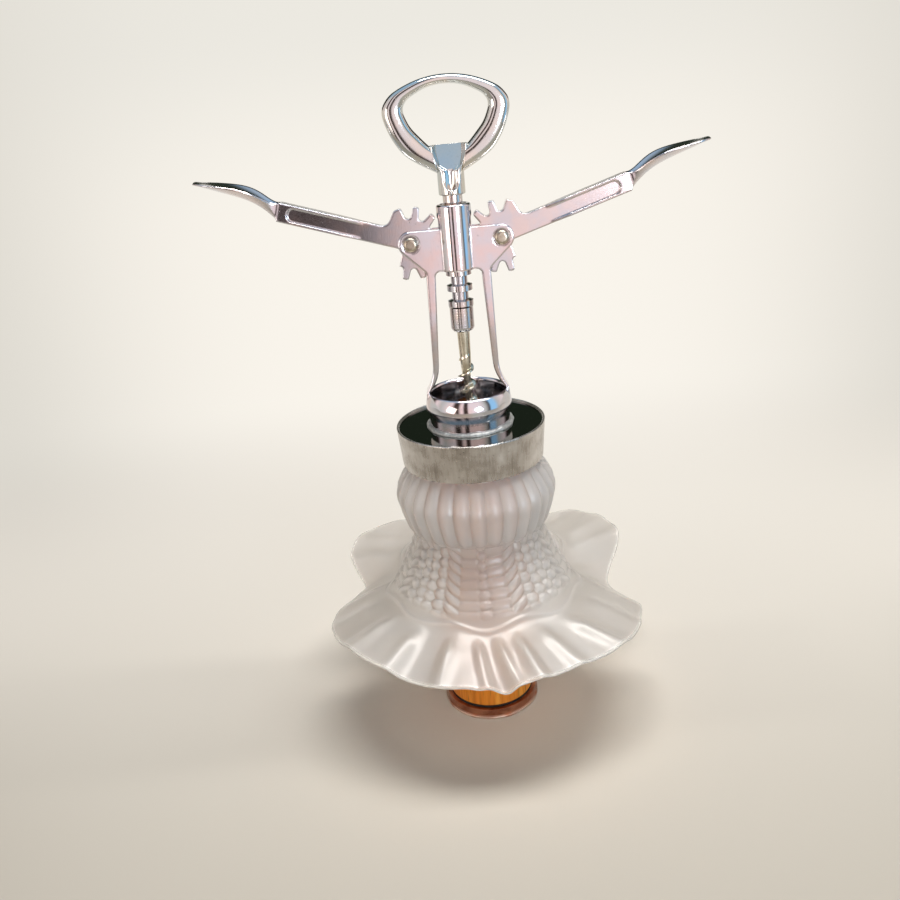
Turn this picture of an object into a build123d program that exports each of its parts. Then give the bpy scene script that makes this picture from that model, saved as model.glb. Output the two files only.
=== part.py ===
from build123d import *
from math import atan2, cos, exp, pi, radians, sin
import os

# A double-lever corkscrew with a bottle-opener handle, cemented on a metal cap that holds a
# ruffled glass shade, on a wooden post in a metal foot. Millimetres, +Z up, front towards -Y.
# The origin is the centre of the foot's underside.

# Allowances
overrun = 1.0         # how far a cut runs past the face that it opens
running_gap = 0.06    # radial play where one piece turns or slides in another
seat_gap = 0.02       # between pieces that are pressed, crimped or cemented together
side_gap = 0.3        # between moving pieces that pass each other
end_play = 0.1        # lengthwise play of the spindle in the rack sleeve

# Foot: a shallow metal cup with a rolled bead at the floor
foot_wall = 1.8
foot_bead_w = 0.8
foot_bead_h = 1.4
foot_bead_round = 0.4
foot_h = 5.0
foot_floor = 1.6

# Wooden post
post_room = 4.6       # between the post and the shade's neck
post_len = 138.0
post_edge = 0.8
scorch_w = 1.2
scorch_depth = 0.7
worm_well_r = 5.2
worm_well_depth = 26.0

# Cap: spun metal, a mirror deck with a raised rim and a skirt that narrows downwards
cap_r = 32.0
cap_taper = 1.4
cap_wall = 1.0
cap_lip = 1.0
cap_h = 16.5
cap_hem_round = 0.35

# Wood screws that hold the cap's deck down on the post, inside the bell
screw_count = 3
screw_circle_r = 10.6
screw_head_r = 3.1
screw_head_h = 2.0
screw_head_round = 1.2
screw_r = 1.75
screw_len = 14.0
screw_point = 3.0
screw_slot_len = 3.8
screw_slot_w = 0.9
screw_slot_depth = 1.1

# Glass shade: neck with a retaining lip, fluted bulb, waist, and a ruffled skirt
glass = 2.8
neck_lip_w = 1.4
neck_lip_h = 4.0
neck_top_gap = 1.0
neck_cone_h = 1.4
bulb_r = 34.4
bulb_drop = 30.6      # deck down to the widest place of the bulb
waist_r = 28.2
waist_drop = 48.5
flare_r = 43.0
flare_drop = 76.0
hem_r = 70.0
hem_drop = 86.0
hem_swing_r = 14.0    # how far the ruffle moves the hem outwards, per whole share
hem_swing_z = 24.0    # how far the ruffle lifts the hem, per whole share
flute_count = 30
flute_depth = 0.9
# The hem's ruffle at equal steps around the shade from the front towards +X, as shares of the two swings
hem_out_shares = (-0.25, -0.10, -0.15, 0.06, 0.18, 0.14, 0.09, -0.55, 0.75, 0.75, 0.30, -0.10,
                  -0.10, -0.10, 0.20, 0.50, 0.40, -0.72, 0.05, 0.10, 0.00, -0.10, -0.22, -0.15)
hem_lift_shares = (-0.14, -0.01, -0.04, -0.04, -0.12, -0.26, -0.46, -0.28, 0.28, 0.42, 0.32, 0.18,
                   0.10, 0.20, 0.40, 0.50, 0.35, -0.05, -0.22, -0.15, 0.00, 0.05, -0.10, -0.05)
# The shade's outside has a station at each place (neck, bulb, waist, flare, hem) and one between each two,
# at these shares of the way in radius and in height; then how much of the flutes and the ruffle reaches each
between_shares = ((0.67, 0.50), (0.50, 0.67), (0.33, 0.50), (0.50, 0.50))
flute_shares = (0.0, 0.7, 1.0, 1.0, 0.3, 0.0, 0.0, 0.0, 0.0)
ruffle_shares = (0.0, 0.0, 0.0, 0.0, 0.0, 0.08, 0.3, 0.65, 1.0)
# Pressed panels at the waist: the heights of their upright columns from a panel's middle to its edge, as shares
# of the tallest; then how much of the columns reaches each station
panel_count = 4
panel_h = 1.3
panel_column_shares = (0.9, 0.25, 0.6, 0.1, 1.0, 0.4, 0.8, 0.95)
panel_reach_shares = (0.0, 0.0, 0.0, 0.0, 1.0, 1.0, 0.1, 0.0, 0.0)
# Folds of the skirt: where each starts around the shade, how far it leans on the way to the hem and its half
# width, in degrees; its height as a share of the tallest; then how much of folds and lean reaches a station
fold_h = 2.6
fold_angles = (-170, -151, -132, -93, -76, -57, -38, -18, -6, 4, 14, 27, 43, 65, 83, 137, 155)
fold_lean_angles = (5, 4, 5, -2, -3, -2, -1, -1, 5, 5, 4, 6, 9, 4, 3, 5, 5)
fold_half_angles = (6, 7, 6, 6, 7, 5, 4, 3.4, 2.7, 2.6, 2.4, 3.4, 4.2, 6, 6, 6, 7)
fold_shares = (0.6, 0.8, 0.6, 0.7, 0.7, 0.9, 0.7, 0.9, 1.0, 1.0, 0.7, 0.55, 0.85, 0.6, 0.7, 0.6, 0.8)
fold_reach_shares = (0.0, 0.0, 0.0, 0.0, 0.0, 0.0, 0.0, 1.0, 1.0)
fold_way_shares = (0.0, 0.0, 0.0, 0.0, 0.0, 0.0, 0.0, 0.45, 1.0)
furrow_share = 0.4    # depth of the furrows beside a fold
furrow_widen_share = 2.2

# Cement packing between the shade's neck and the cap
packing_w = 2.4
packing_top_gap = 3.0
packing_h = 9.0

# Corkscrew frame: barrel, yoke with two ears, two legs and the bell, one die casting
pivot_x = 18.0
pivot_rise = 77.4     # pivots above the cap's deck
yoke_depth = 8.0
yoke_round = 0.5
ear_r = 5.0
ear_low_angle = -55.0
barrel_r = 6.9
barrel_top = 14.0     # barrel's ends, from the pivots' level
barrel_low = 11.6
barrel_round = 0.9
leg_top_out = 13.0
leg_top_in = 9.2
leg_foot_out = 13.7
leg_foot_in = 11.2
leg_knee_rise = 27.5  # where the legs start to flare, above the deck
leg_foot_rise = 15.6
leg_foot_sink = 5.0
leg_toe_out = 17.4
leg_toe_in = 16.2
window_round = 2.0
bell_base_r = 17.2
bell_bulge_r = 18.3
bell_mouth_r = 16.5
bell_in_r = 15.8
bell_h = 15.2
bell_band_h = 5.0
bell_bulge_rise = 9.8
bell_lip_h = 1.0

# Cement bead around the bell
bead_w = 2.0
bead_h = 1.7

# Rivets that the levers turn on
rivet_r = 1.75
rivet_head_r = 2.9
rivet_dome = 1.5
rivet_round = 1.3
rivet_sink = 0.35
rivet_ring = 0.45

# Rack and gear: a toothed sector on each lever meshes with rings on the sleeve
gear_r = 12.0
gear_teeth_per_turn = 12
tooth_tip_r = 14.2
valley_r = 11.0
valley_round = 1.3
valley_mouth_r = 15.4
valley_mouth = 2.85
ring_r = 5.2
ring_tip_half = 1.1
ring_foot_half = 1.65
ring_groove_r = 3.4
rings_above = 2
rings_below = 4
neck_sleeve_r = 3.9

# Spindle, ferrule and worm
spindle_r = 2.2
ferrule_r = 4.9
ferrule_len = 10.0
ferrule_round_len = 2.2
ferrule_end_r = 3.7
ferrule_core = 5.0    # how far the worm's shank goes into the ferrule
shank_r = 2.65
shank_end_r = 2.2
shank_root_r = 1.1    # where the shank is lost inside the worm's core
shank_len = 14.0
worm_len = 58.0       # below the ferrule
worm_core_r = 1.35
worm_r = 3.75
worm_pitch = 7.0
worm_web_r = 1.1
worm_point_len = 11.0
worm_fade_len = 6.0
worm_tip_r = 0.3

# Opener handle
hub_gap = 3.4         # hub's underside above the barrel
handle_half_w = 24.2
handle_h = 43.4
handle_depth = 7.2
hub_r = 5.3
hub_top_r = 5.6
hub_len = 14.5
hub_round = 2.0
hub_edge = 0.6
socket_depth = 9.0
scoop_rise = 10.6
scoop_half_h = 9.5
scoop_r = 6.0
scoop_back = 8.4
lip_half_w = 6.4
lip_rise = 17.9
lip_depth = 6.0
lip_h = 1.6
handle_round = 1.5    # how far the ring's edges are rounded off
# The opener ring's outer and inner edges, right half, from the hub up to the crown, as shares of half width
# and height
handle_outer_shares = ((0.24, 0.19), (0.52, 0.288), (0.72, 0.373), (0.87, 0.493), (0.965, 0.62),
                       (1.0, 0.72), (0.955, 0.80), (0.785, 0.888), (0.40, 0.972), (0.0, 1.0))
handle_inner_shares = ((0.12, 0.41), (0.30, 0.43), (0.43, 0.50), (0.56, 0.585), (0.635, 0.67),
                       (0.662, 0.735), (0.63, 0.785), (0.53, 0.835), (0.27, 0.90), (0.0, 0.92))

# Levers
lever_rest_angle = 17.5
lever_plate = 4.0
lever_flange = 6.4
lever_first_tooth = 86.5
lever_tooth_count = 8
arm_low = 2.8         # the arm's lower and upper edges, from the line through the pivot
arm_high = 4.4
arm_len = 53.0
sector_heel = 2.6
sector_heel_round = 2.5
hook_tip_x = 8.3
hook_foot_x = 10.6
hook_round = 3.0
tooth_round = 0.8
flange_start = 20.0
flange_ramp = 8.0
flange_edge = 1.0
pocket_end = 49.5
pocket_round = 2.4
paddle_tip = 86.6
paddle_half_w = 8.7
paddle_rise = 6.3     # the paddle's side edges above the line through the pivot
paddle_skin = 1.8
# Spoon stations: along the paddle, half width, underside, side edges, skin: shares of the sizes above
paddle_station_shares = ((0.17, 0.56, 0.05, 0.72, 1.4), (0.38, 0.90, 0.38, 1.0, 1.05),
                         (0.62, 1.0, 0.48, 0.98, 0.95), (0.86, 0.82, 0.54, 0.80, 0.8),
                         (1.0, 0.36, 0.58, 0.66, 0.6))
paddle_side_share = 0.35

# Radii and levels that follow from the sizes above
cap_hem_r = cap_r - cap_taper
neck_lip_r = cap_r - cap_wall - packing_w
neck_r = neck_lip_r - neck_lip_w
neck_in_r = neck_r - glass
post_r = neck_in_r - post_room
foot_r = post_r + foot_wall
foot_bead_r = foot_r + foot_bead_w
post_top = foot_floor + post_len
deck_z = post_top + cap_wall
cap_hem_z = deck_z + cap_lip - cap_h
pivot_z = deck_z + pivot_rise
barrel_top_z = pivot_z + barrel_top
barrel_low_z = pivot_z - barrel_low
bore_r = ring_r + running_gap
rack_pitch = 2 * pi * gear_r / gear_teeth_per_turn
hub_z = barrel_top_z + hub_gap
sleeve_top_z = hub_z - end_play
sleeve_low_z = pivot_z - rings_below * rack_pitch - ring_foot_half
ferrule_top_z = sleeve_low_z - end_play
ferrule_low_z = ferrule_top_z - ferrule_len
shank_top_z = ferrule_low_z + ferrule_core
worm_tip_z = ferrule_low_z - worm_len
neck_top_z = post_top - neck_top_gap
lip_low_z = neck_top_z - neck_lip_h
shade_places = ((neck_r, deck_z - cap_hem_z), (bulb_r, bulb_drop), (waist_r, waist_drop),
                (flare_r, flare_drop), (hem_r, hem_drop))
rivet_half = yoke_depth / 2 - rivet_sink
paddle_len = paddle_tip - arm_len


# Foot
with BuildPart() as foot_ring:
    with BuildSketch(Plane.XZ):
        with BuildLine():
            Polyline((0, 0), (foot_bead_r, 0), (foot_bead_r, foot_bead_h), (foot_r, foot_bead_h),
                     (foot_r, foot_h), (post_r + seat_gap, foot_h), (post_r + seat_gap, foot_floor),
                     (0, foot_floor), close=True)
        make_face()
    revolve(axis=Axis.Z)
    fillet(foot_ring.edges().filter_by(GeomType.CIRCLE).sort_by(SortBy.RADIUS)[-2:], foot_bead_round)

# Wooden post, with a scorched groove just above the foot, a well for the worm and holes for the screws
with BuildPart() as wooden_post:
    with BuildSketch(Plane.XZ):
        with BuildLine():
            Polyline((0, foot_floor), (post_r - post_edge, foot_floor), (post_r, foot_floor + post_edge),
                     (post_r, foot_h), (post_r - scorch_depth, foot_h + scorch_w / 2),
                     (post_r, foot_h + scorch_w), (post_r, post_top - post_edge),
                     (post_r - post_edge, post_top), (worm_well_r, post_top),
                     (worm_well_r, post_top - worm_well_depth), (0, post_top - worm_well_depth), close=True)
        make_face()
    revolve(axis=Axis.Z)
    with Locations(Plane.XY.offset(post_top)):
        with PolarLocations(screw_circle_r, screw_count, start_angle=90):
            Hole(screw_r + seat_gap, screw_len + overrun)

# Cap
with BuildPart() as shade_cap:
    with BuildSketch(Plane.XZ):
        with BuildLine():
            Polyline((worm_well_r, post_top), (worm_well_r, deck_z), (cap_r - cap_wall, deck_z),
                     (cap_r - cap_wall, deck_z + cap_lip), (cap_r, deck_z + cap_lip), (cap_hem_r, cap_hem_z),
                     (cap_hem_r - cap_wall, cap_hem_z), (cap_r - cap_wall, post_top), close=True)
        make_face()
    revolve(axis=Axis.Z)
    fillet(shade_cap.edges().group_by(Axis.Z)[0], cap_hem_round)
    fillet(shade_cap.edges().group_by(Axis.Z)[-1], cap_hem_round)
    with Locations(Plane.XY.offset(deck_z)):
        with PolarLocations(screw_circle_r, screw_count, start_angle=90):
            Hole(screw_r + seat_gap, cap_wall + overrun)

# Screws
with BuildPart(Plane.XY.offset(deck_z)) as post_screws:
    with PolarLocations(screw_circle_r, screw_count, start_angle=90):
        Cylinder(screw_head_r, screw_head_h, align=(Align.CENTER, Align.CENTER, Align.MIN))
        Cylinder(screw_r, screw_len - screw_point, align=(Align.CENTER, Align.CENTER, Align.MAX))
        with Locations((0, 0, screw_point - screw_len)):
            Cone(worm_tip_r, screw_r, screw_point, align=(Align.CENTER, Align.CENTER, Align.MAX))
    fillet(post_screws.edges().group_by(Axis.Z)[-1], screw_head_round)
    with PolarLocations(screw_circle_r, screw_count, start_angle=90):
        with Locations((0, 0, screw_head_h)):
            Box(screw_slot_len, screw_slot_w, 2 * screw_slot_depth, mode=Mode.SUBTRACT)
            Box(screw_slot_w, screw_slot_len, 2 * screw_slot_depth, mode=Mode.SUBTRACT)


# Glass shade
def around(shares, turn):
    """Share at a turn around the shade, in degrees from the front, eased through the neighbouring steps."""
    place = turn / 360 * len(shares)
    step = int(place // 1)
    part = place - step
    before, here, after, beyond = (shares[(step + k) % len(shares)] for k in (-1, 0, 1, 2))
    bend = 2 * before - 5 * here + 4 * after - beyond
    twist = 3 * here - before - 3 * after + beyond
    return here + ((after - before) * part + bend * part ** 2 + twist * part ** 3) / 2


def fold_share(turn, way):
    """Height of the skirt's folds at a turn and a share of the way down the skirt; furrows are below 0."""
    total = 0
    for start, lean, half, share in zip(fold_angles, fold_lean_angles, fold_half_angles, fold_shares):
        gap = (turn - start - lean * way + 180) % 360 - 180
        bell = exp(-(gap / half) ** 2)
        total += share * (bell - furrow_share * exp(-(gap / half / furrow_widen_share) ** 2))
    return total


def moved_square(points, distances):
    """Points along a line, each moved by its distance to the right of the way along it."""
    moved = []
    for k, ((across, up), distance) in enumerate(zip(points, distances)):
        across_before, up_before = points[max(k - 1, 0)]
        across_after, up_after = points[min(k + 1, len(points) - 1)]
        slope = atan2(up_after - up_before, across_after - across_before)
        moved.append((across + distance * sin(slope), up - distance * cos(slope)))
    return moved


def shade_outside(turn):
    """Outside of the glass below the neck at a turn, as (radius, height) from the neck down to the hem."""
    flute = flute_depth * cos(radians(flute_count * turn))
    panel_half = 180 / panel_count
    off_middle_share = abs((turn + panel_half) % (2 * panel_half) - panel_half) / panel_half
    column = panel_h * panel_column_shares[round(off_middle_share * (len(panel_column_shares) - 1))]
    out = hem_swing_r * around(hem_out_shares, turn)
    lift = hem_swing_z * around(hem_lift_shares, turn)
    plain = [shade_places[0]]
    for place, next_place, between in zip(shade_places, shade_places[1:], between_shares):
        plain.append(tuple(a + (b - a) * share for a, b, share in zip(place, next_place, between)))
        plain.append(next_place)
    stations = zip(plain, flute_shares, panel_reach_shares, ruffle_shares)
    ruffled = [(r + flute * fluted + column * panelled + out * share, deck_z - drop + lift * share)
               for (r, drop), fluted, panelled, share in stations]
    folds = [-fold_h * reach * fold_share(turn, way) for reach, way in zip(fold_reach_shares, fold_way_shares)]
    return moved_square(ruffled, folds)


shade_walls = []
for half in (0, 1):
    with BuildPart() as shade_half:
        for step in range(flute_count + 1):
            turn = 180 * (half + step / flute_count)
            outward = (sin(radians(turn)), -cos(radians(turn)), 0)
            outside = shade_outside(turn)
            inside = moved_square(outside, [glass] * len(outside))
            inside[0] = (neck_in_r, cap_hem_z)
            hem_way = Vector(*outside[-1]) - Vector(*outside[-2])
            with BuildSketch(Plane((0, 0, 0), x_dir=outward, z_dir=(outward[1], -outward[0], 0))):
                with BuildLine():
                    Polyline((neck_in_r, cap_hem_z), (neck_in_r, neck_top_z), (neck_lip_r, neck_top_z),
                             (neck_lip_r, lip_low_z), (neck_r, lip_low_z - neck_cone_h), (neck_r, cap_hem_z))
                    Spline(*outside, tangents=((0, -1), hem_way))
                    Line(outside[-1], inside[-1])
                    Spline(*reversed(inside), tangents=(-hem_way, (0, 1)))
                make_face()
        loft(ruled=True)
    shade_walls += shade_half.faces().filter_by(Axis.X, reverse=True)

with BuildPart() as glass_shade:
    add(Solid(Shell(shade_walls)))

# Cement packing around the neck
with BuildPart() as neck_packing:
    packing_top_z = neck_top_z - packing_top_gap
    packing_low_z = packing_top_z - packing_h
    lean = (cap_r - cap_hem_r) / (post_top - cap_hem_z)
    packing_top_r = cap_r - cap_wall - seat_gap - lean * (post_top - packing_top_z)
    packing_low_r = packing_top_r - lean * packing_h
    with BuildSketch(Plane.XZ):
        with BuildLine():
            Polyline((neck_r + seat_gap, packing_low_z), (packing_low_r, packing_low_z),
                     (packing_top_r, packing_top_z), (neck_lip_r + seat_gap, packing_top_z),
                     (neck_lip_r + seat_gap, lip_low_z), (neck_r + seat_gap, lip_low_z - neck_cone_h),
                     close=True)
        make_face()
    revolve(axis=Axis.Z)

# Corkscrew frame
with BuildPart() as frame_casting:
    ear_low = (pivot_x + ear_r * cos(radians(ear_low_angle)), pivot_z + ear_r * sin(radians(ear_low_angle)))
    leg_out_top = (leg_top_out, barrel_low_z)
    leg_out_knee = (leg_foot_out, deck_z + leg_knee_rise)
    leg_in_top = (leg_top_in, barrel_low_z)
    leg_in_knee = (leg_foot_in, deck_z + leg_knee_rise)
    toe_out = (leg_toe_out, deck_z + leg_foot_rise)
    toe_in = (leg_toe_in, deck_z + leg_foot_rise)
    with BuildSketch(Plane.XZ) as yoke:
        with BuildLine():
            Polyline((0, barrel_low_z), (0, pivot_z + ear_r), (pivot_x, pivot_z + ear_r))
            ThreePointArc((pivot_x, pivot_z + ear_r), (pivot_x + ear_r, pivot_z), ear_low)
            Polyline(ear_low, leg_out_top, leg_out_knee)
            TangentArc(leg_out_knee, toe_out, tangent=Vector(*leg_out_knee) - Vector(*leg_out_top))
            Polyline(toe_out, (leg_toe_out, deck_z + leg_foot_rise - leg_foot_sink),
                     (leg_toe_in, deck_z + leg_foot_rise - leg_foot_sink), toe_in)
            TangentArc(leg_in_knee, toe_in, tangent=Vector(*leg_in_knee) - Vector(*leg_in_top))
            Polyline(leg_in_knee, leg_in_top, (0, barrel_low_z))
        make_face()
        fillet(yoke.vertices().sort_by_distance(leg_in_top)[0], window_round)
        fillet(yoke.vertices().sort_by_distance(leg_out_top)[0], window_round)
        mirror(about=Plane.YZ)
    extrude(amount=yoke_depth / 2, both=True)
    for side in (0, -1):
        rim = frame_casting.faces().sort_by(Axis.Y)[side].edges()
        fillet(rim.filter_by(lambda edge: edge.center().Z > deck_z + leg_foot_rise), yoke_round)
    with BuildSketch(Plane.XY.offset(barrel_low_z)):
        Circle(barrel_r)
    extrude(amount=barrel_low + barrel_top)
    fillet(frame_casting.edges().group_by(Axis.Z)[-1], barrel_round)
    with BuildSketch(Plane.XZ):
        with BuildLine():
            Polyline((bell_mouth_r, deck_z + bell_h), (bell_in_r, deck_z + bell_h - bell_lip_h),
                     (bell_in_r, deck_z), (bell_base_r, deck_z), (bell_base_r, deck_z + bell_band_h))
            ThreePointArc((bell_base_r, deck_z + bell_band_h), (bell_bulge_r, deck_z + bell_bulge_rise),
                          (bell_mouth_r, deck_z + bell_h))
        make_face()
    revolve(axis=Axis.Z)
    with BuildSketch(Plane.XY.offset(barrel_low_z)):
        Circle(bore_r)
    extrude(amount=barrel_low + barrel_top + overrun, mode=Mode.SUBTRACT)
    with BuildSketch(Plane.XY.offset(barrel_low_z)):
        Circle(bore_r)
    extrude(amount=-overrun, mode=Mode.SUBTRACT)
    with BuildSketch(Plane.XZ):
        with Locations((-pivot_x, pivot_z), (pivot_x, pivot_z)):
            Circle(tooth_tip_r + side_gap)
    extrude(amount=lever_plate / 2 + side_gap, both=True, mode=Mode.SUBTRACT)
    with BuildSketch(Plane.XZ):
        with Locations((-pivot_x, pivot_z), (pivot_x, pivot_z)):
            Circle(rivet_r + seat_gap)
    extrude(amount=yoke_depth, both=True, mode=Mode.SUBTRACT)
    for face in (-1, 1):
        with BuildSketch(Plane.XZ.offset(face * rivet_half)):
            with Locations((-pivot_x, pivot_z), (pivot_x, pivot_z)):
                Circle(rivet_head_r + rivet_ring)
        extrude(amount=face * (rivet_sink + overrun), mode=Mode.SUBTRACT)

# Cement bead around the bell's foot
with BuildPart() as cement_bead:
    bead_in_r = bell_base_r + seat_gap
    with BuildSketch(Plane.XZ):
        with BuildLine():
            Polyline((bead_in_r, deck_z + bead_h), (bead_in_r, deck_z), (bead_in_r + bead_w, deck_z))
            ThreePointArc((bead_in_r + bead_w, deck_z), (bead_in_r + 2 * bead_w / 3, deck_z + 2 * bead_h / 3),
                          (bead_in_r, deck_z + bead_h))
        make_face()
    revolve(axis=Axis.Z)


# Rivets: two domed heads on a plain shank
with BuildPart() as right_rivet:
    with BuildSketch(Plane.XZ):
        with Locations((pivot_x, pivot_z)):
            Circle(rivet_r)
    extrude(amount=rivet_half, both=True)
    for face in (-1, 1):
        with BuildSketch(Plane.XZ.offset(face * rivet_half)):
            with Locations((pivot_x, pivot_z)):
                Circle(rivet_head_r)
        extrude(amount=face * rivet_dome)
    fillet(right_rivet.edges().group_by(Axis.Y)[0] + right_rivet.edges().group_by(Axis.Y)[-1], rivet_round)

with BuildPart() as left_rivet:
    add(mirror(right_rivet.part, about=Plane.YZ))

# Rack sleeve: rings at the gear's pitch
with BuildPart() as rack_sleeve:
    sleeve_in_r = spindle_r + running_gap
    outline = [(sleeve_in_r, sleeve_low_z)]
    for ring in range(-rings_below, rings_above + 1):
        ring_z = pivot_z + ring * rack_pitch
        outline += [(ring_groove_r, ring_z - ring_foot_half), (ring_r, ring_z - ring_tip_half),
                    (ring_r, ring_z + ring_tip_half), (ring_groove_r, ring_z + ring_foot_half)]
    neck_z = outline[-1][1] + neck_sleeve_r - ring_groove_r
    outline += [(neck_sleeve_r, neck_z), (neck_sleeve_r, sleeve_top_z), (sleeve_in_r, sleeve_top_z)]
    with BuildSketch(Plane.XZ):
        with BuildLine():
            Polyline(*outline, close=True)
        make_face()
    revolve(axis=Axis.Z)

# Spindle rod
with BuildPart() as spindle_rod:
    with BuildSketch(Plane.XY.offset(shank_top_z)):
        Circle(spindle_r)
    extrude(amount=hub_z + socket_depth - shank_top_z)

# Ferrule that joins the worm to the spindle
with BuildPart() as ferrule:
    with BuildSketch(Plane.XZ):
        with BuildLine():
            Polyline((ferrule_end_r, ferrule_low_z), (shank_r + seat_gap, ferrule_low_z),
                     (shank_r + seat_gap, shank_top_z), (spindle_r + seat_gap, shank_top_z),
                     (spindle_r + seat_gap, ferrule_top_z), (ferrule_r, ferrule_top_z),
                     (ferrule_r, ferrule_low_z + ferrule_round_len))
            RadiusArc((ferrule_r, ferrule_low_z + ferrule_round_len), (ferrule_end_r, ferrule_low_z),
                      ferrule_round_len)
        make_face()
    revolve(axis=Axis.Z)

# Worm: a tapered shank that runs into a twisted egg-shaped section, which makes the core and its web
web_top_z = ferrule_low_z - shank_len + worm_fade_len
web_h = web_top_z - worm_tip_z
web_full_z = web_top_z - 2 * worm_fade_len
shank_root_z = web_full_z - worm_fade_len
with BuildSketch(Plane.XY.offset(worm_tip_z)) as worm_section:
    Circle(worm_core_r)
    with Locations((worm_r - worm_web_r, 0)):
        Circle(worm_web_r)
    make_hull()

with BuildPart() as worm:
    add(Solid.extrude_linear_with_rotation(worm_section.sketch.face(), center=(0, 0, worm_tip_z),
                                           normal=(0, 0, web_h), angle=360 * web_h / worm_pitch))
    with BuildSketch(Plane.XZ):
        with BuildLine():
            Polyline((0, worm_tip_z), (worm_tip_r, worm_tip_z),
                     (worm_r + seat_gap, worm_tip_z + worm_point_len), (worm_r + seat_gap, web_full_z),
                     (shank_end_r, web_top_z), (0, web_top_z), close=True)
        make_face()
    revolve(axis=Axis.Z, mode=Mode.INTERSECT)
    with BuildSketch(Plane.XZ):
        with BuildLine():
            Polyline((0, shank_root_z), (shank_root_r, shank_root_z),
                     (shank_end_r + running_gap, ferrule_low_z - shank_len), (shank_r, ferrule_low_z),
                     (shank_r, shank_top_z), (0, shank_top_z), close=True)
        make_face()
    revolve(axis=Axis.Z)


# Opener handle: a flat ring with rounded edges that grows out of the hub, and a lip that lifts the bottle cap
def handle_edge(shares, inset):
    """One whole edge of the opener ring at the object's size, moved to the right of its way by an inset."""
    right = [(handle_half_w * across, hub_z + handle_h * up) for across, up in shares]
    left = [(-across, up) for across, up in reversed(right[:-1])]
    whole = right + left
    return moved_square(whole, [inset] * len(whole))


ring_edges = ((handle_outer_shares, -handle_round, 0, Mode.ADD),
              (handle_inner_shares, handle_round, seat_gap, Mode.SUBTRACT))
with BuildPart() as opener_handle:
    for shares, inset, past, mode in ring_edges:
        for step in range(-2, 3):
            lean = radians(step * 45)
            edge = handle_edge(shares, inset * (1 - cos(lean)))
            with BuildSketch(Plane.XZ.offset((handle_depth / 2 + past) * sin(lean))):
                with BuildLine():
                    Spline(*edge)
                    Line(edge[-1], edge[0])
                make_face()
        loft(mode=mode)
    with BuildSketch(Plane.XZ):
        with BuildLine():
            Polyline((0, hub_z), (hub_r - hub_edge, hub_z), (hub_r, hub_z + hub_edge),
                     (hub_top_r, hub_z + hub_len - hub_round))
            RadiusArc((hub_top_r, hub_z + hub_len - hub_round), (hub_top_r - hub_round, hub_z + hub_len),
                      -hub_round)
            Polyline((hub_top_r - hub_round, hub_z + hub_len), (0, hub_z + hub_len), (0, hub_z))
        make_face()
    revolve(axis=Axis.Z)
    with Locations((0, 0, hub_z + lip_rise)):
        Box(2 * lip_half_w, lip_depth, lip_h)
    with BuildSketch(Plane((0, -scoop_back, hub_z + scoop_rise), x_dir=(1, 0, 0), z_dir=(0, -1, 0))):
        with BuildLine():
            Line((0, -scoop_half_h), (0, scoop_half_h))
            ThreePointArc((0, scoop_half_h), (scoop_r, 0), (0, -scoop_half_h))
        make_face()
    revolve(axis=Axis((0, -scoop_back, 0), (0, 0, 1)), mode=Mode.SUBTRACT)
    with BuildSketch(Plane.XY.offset(hub_z)):
        Circle(spindle_r + seat_gap)
    extrude(amount=socket_depth, mode=Mode.SUBTRACT)

# Levers: the right one is drawn along its own arm, the left one is its mirror image
arm_angle = radians(lever_rest_angle)
lever_plane = Plane((pivot_x, 0, pivot_z), x_dir=(cos(arm_angle), 0, sin(arm_angle)), z_dir=(0, -1, 0))
tooth_angle = 360 / gear_teeth_per_turn


def station_plane(along):
    """Plane square to the right lever's arm at a distance from the pivot; its own X is the object's Y."""
    return Plane(lever_plane.from_local_coords((along, 0, 0)), x_dir=(0, 1, 0), z_dir=lever_plane.x_dir)


with BuildSketch() as tooth_valley:
    with Locations((valley_r, 0)):
        Circle(valley_round)
    with Locations((valley_mouth_r, 0)):
        Circle(valley_mouth)
    make_hull()

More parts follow.
